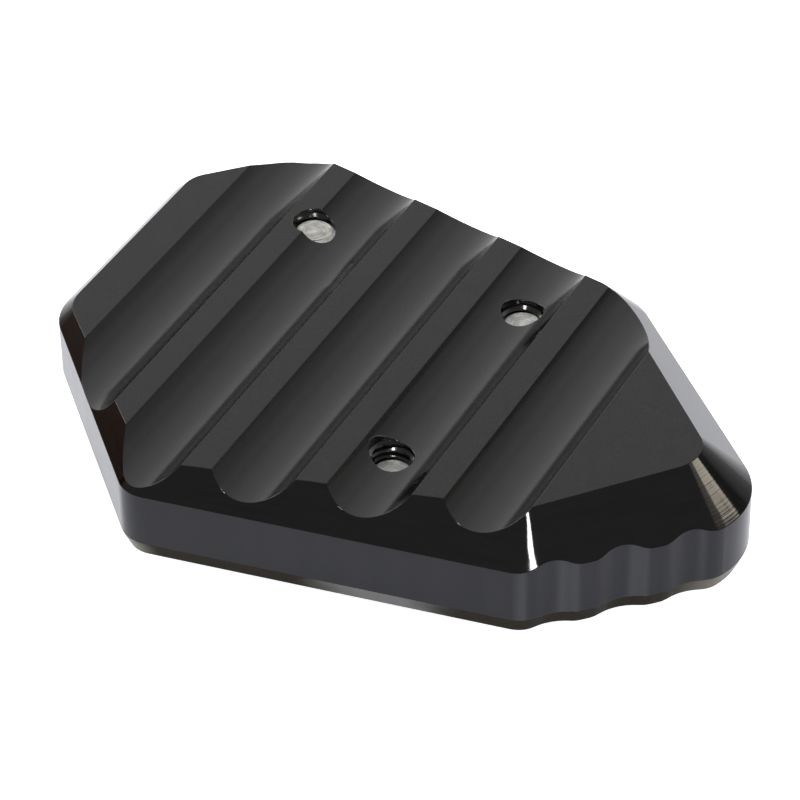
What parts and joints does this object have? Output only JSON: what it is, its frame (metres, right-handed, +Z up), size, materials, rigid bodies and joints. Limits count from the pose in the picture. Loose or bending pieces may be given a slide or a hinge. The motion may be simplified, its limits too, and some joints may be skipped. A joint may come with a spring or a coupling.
{
  "type": "kickstand foot enlarger",
  "caption": "Milled foot enlarger for a motorbike side stand: a grooved, wedge-shaped ground plate with a wavy nose side, and a fork-shaped clamp plate held under it by countersunk screws.",
  "frame": {"origin": "under the middle of the part's box, on the clamp plate's outer face that the part lies on", "axes": "+X along the plate from its straight tail to its nose, across the grooves; +Y along the grooves to the rear side; +Z up, out of the grooved ground side"},
  "size_m": [0.1006, 0.0778, 0.0229],
  "materials": {
    "black_anodised": "black anodised, satin on the lands and grooves, glossy on the milled sides",
    "bright_steel": "bright machined steel"
  },
  "bodies": {
    "root": {"ground_plate": "black_anodised", "clamp_plate": "black_anodised", "clamp_screws": "bright_steel"}
  },
  "joints": []
}
